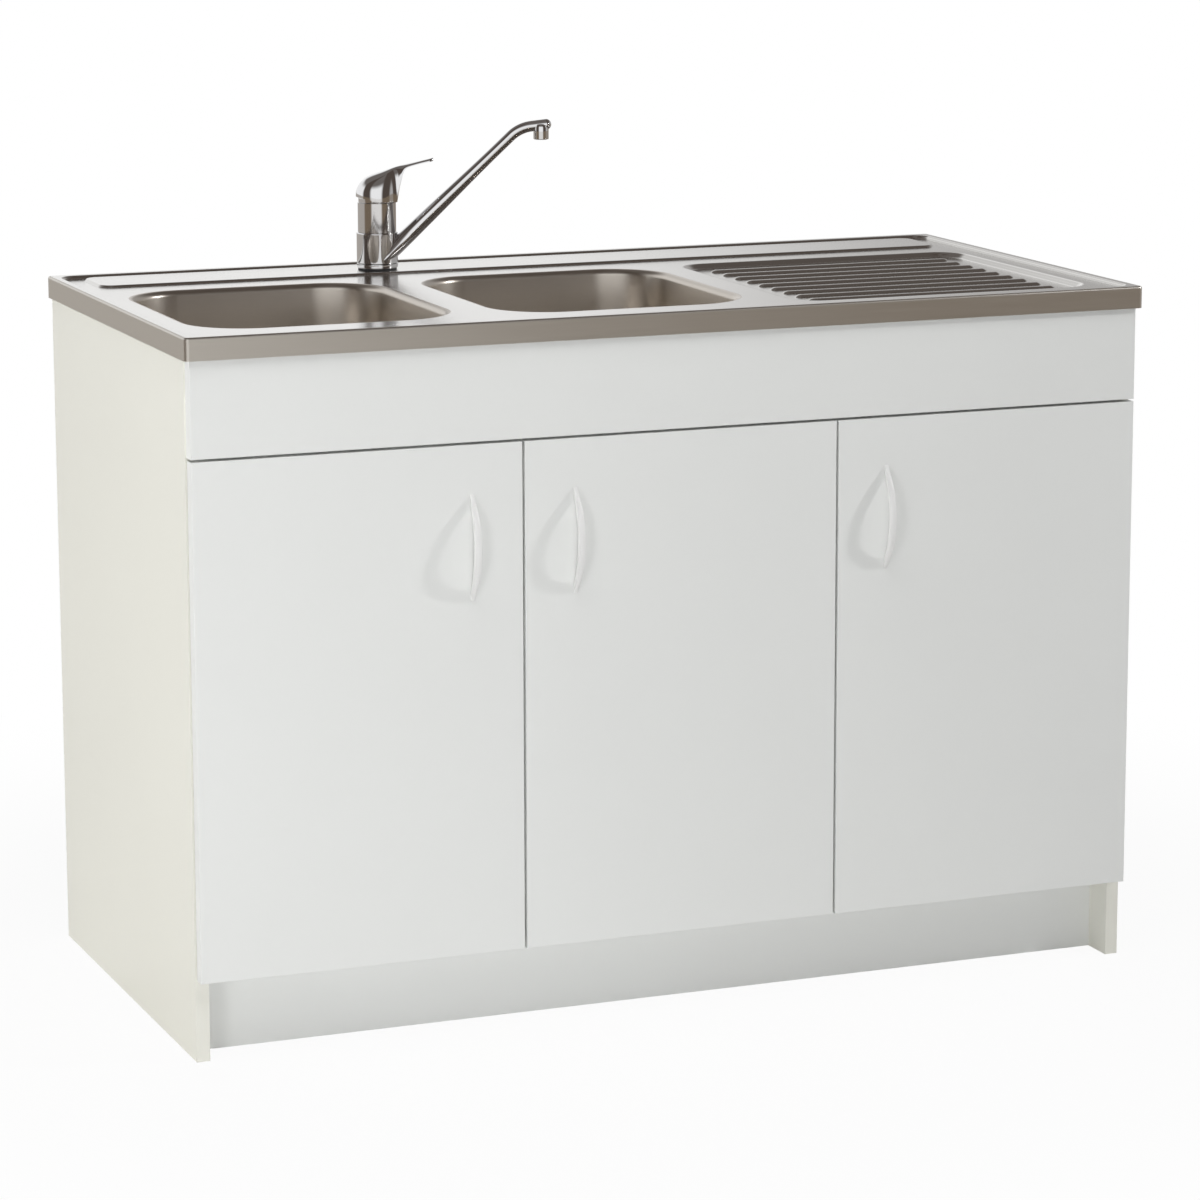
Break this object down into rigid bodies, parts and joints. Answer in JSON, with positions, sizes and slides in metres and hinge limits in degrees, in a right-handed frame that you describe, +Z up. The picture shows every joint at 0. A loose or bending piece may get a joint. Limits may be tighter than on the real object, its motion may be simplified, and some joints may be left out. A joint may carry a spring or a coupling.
{
  "type": "sink base cabinet",
  "caption": "White kitchen base cabinet with overlay doors and bow handles, a lay-on steel sink top with two bowls and a ribbed drainer, and a single-lever mixer tap.",
  "frame": {"origin": "on the floor, under the middle of the whole unit", "axes": "+X to the right seen from the front, +Y to the back, +Z up"},
  "size_m": [1.2, 0.618, 1.0247],
  "materials": {
    "white_board": "white melamine faced board, satin",
    "white_handle": "white, semi-gloss",
    "sink_steel": "satin stainless steel",
    "polished_steel": "polished stainless steel",
    "chrome": "bright chrome",
    "brass": "plain brass",
    "hinge_steel": "nickel plated steel",
    "zinc": "zinc plated",
    "white_plastic": "white moulded plastic",
    "grey_plastic": "grey moulded plastic",
    "black_rubber": "matte rubber",
    "clear_buffer": "soft translucent bumper"
  },
  "bodies": {
    "cabinet": {"side_panel_left": "white_board", "side_panel_right": "white_board", "bottom_panel": "white_board", "partition_panel": "white_board", "plinth_board": "white_board", "fascia_panel": "white_board", "front_rail": "white_board", "rear_top_rail": "white_board", "rear_bottom_rail": "white_board", "shelf": "white_board", "hinge_arms": "hinge_steel", "hinge_plates": "hinge_steel", "cam_bolts": "hinge_steel", "shelf_pins": "hinge_steel", "tap_stud": "hinge_steel", "cam_locks": "zinc", "tap_fixing": "zinc", "cartridge_nut": "zinc", "sink_deck": "sink_steel", "sink_bowl_left": "sink_steel", "sink_bowl_right": "sink_steel", "waste_bodies": "polished_steel", "waste_branch_pipe": "white_plastic", "waste_tee": "white_plastic", "trap_body": "white_plastic", "trap_cup": "white_plastic", "trap_outlet_pipe": "white_plastic", "waste_nuts": "white_plastic", "waste_gaskets": "black_rubber", "tap_seal": "black_rubber", "door_buffers": "clear_buffer", "tap_base": "chrome", "tap_body": "chrome", "cartridge_cap": "chrome", "cartridge_housing": "grey_plastic"},
    "links_left": {"hinge_links_left": "hinge_steel"},
    "door_left": {"door_left": "white_board", "handle_left": "white_handle", "handle_screws_left": "zinc", "hinge_cups_left": "hinge_steel"},
    "links_middle": {"hinge_links_middle": "hinge_steel"},
    "door_middle": {"door_middle": "white_board", "handle_middle": "white_handle", "handle_screws_middle": "zinc", "hinge_cups_middle": "hinge_steel"},
    "links_right": {"hinge_links_right": "hinge_steel"},
    "door_right": {"door_right": "white_board", "handle_right": "white_handle", "handle_screws_right": "zinc", "hinge_cups_right": "hinge_steel"},
    "spout": {"spout": "chrome", "aerator": "chrome"},
    "rotor": {"cartridge_rotor": "grey_plastic", "rotor_pin": "hinge_steel"},
    "lever": {"lever": "chrome", "lever_screw": "zinc", "spindle": "brass"},
    "basket_left": {"strainer_basket_left": "polished_steel"},
    "basket_right": {"strainer_basket_right": "polished_steel"}
  },
  "joints": [
    {"name": "link_left_swing", "type": "hinge", "parent": "cabinet", "child": "links_left", "pos_m": [-0.5415, -0.261, 0.398], "axis": [0, 0, 1], "range_deg": [0, 29.44]},
    {"name": "door_left_open", "type": "hinge", "parent": "links_left", "child": "door_left", "pos_m": [-0.5775, -0.2733, 0.398], "axis": [0, 0, -1], "range_deg": [0, 121.44]},
    {"name": "link_middle_swing", "type": "hinge", "parent": "cabinet", "child": "links_middle", "pos_m": [0.14517, -0.261, 0.398], "axis": [0, 0, -1], "range_deg": [0, 29.44]},
    {"name": "door_middle_open", "type": "hinge", "parent": "links_middle", "child": "door_middle", "pos_m": [0.18117, -0.2733, 0.398], "axis": [0, 0, 1], "range_deg": [0, 121.44]},
    {"name": "link_right_swing", "type": "hinge", "parent": "cabinet", "child": "links_right", "pos_m": [0.5415, -0.261, 0.398], "axis": [0, 0, -1], "range_deg": [0, 29.44]},
    {"name": "door_right_open", "type": "hinge", "parent": "links_right", "child": "door_right", "pos_m": [0.5775, -0.2733, 0.398], "axis": [0, 0, 1], "range_deg": [0, 121.44]},
    {"name": "spout_swivel", "type": "hinge", "parent": "cabinet", "child": "spout", "pos_m": [-0.19692, 0.234, 0.8385], "axis": [0, 0, 1], "continuous": true},
    {"name": "lever_turn", "type": "hinge", "parent": "cabinet", "child": "rotor", "pos_m": [-0.19692, 0.234, 0.8385], "axis": [0, 0, 1], "range_deg": [-45, 45]},
    {"name": "lever_lift", "type": "hinge", "parent": "rotor", "child": "lever", "pos_m": [-0.19692, 0.234, 0.922], "axis": [-0.342, -0.9397, 0], "range_deg": [0, 25]},
    {"name": "basket_left_lift", "type": "slide", "parent": "cabinet", "child": "basket_left", "axis": [0, 0, 1], "range_m": [0, 0.04]},
    {"name": "basket_right_lift", "type": "slide", "parent": "cabinet", "child": "basket_right", "axis": [0, 0, 1], "range_m": [0, 0.04]}
  ],
  "couplings": [
    {"joint": "link_left_swing", "follows": "door_left_open", "ratio": 0.24242},
    {"joint": "link_middle_swing", "follows": "door_middle_open", "ratio": 0.24242},
    {"joint": "link_right_swing", "follows": "door_right_open", "ratio": 0.24242}
  ]
}
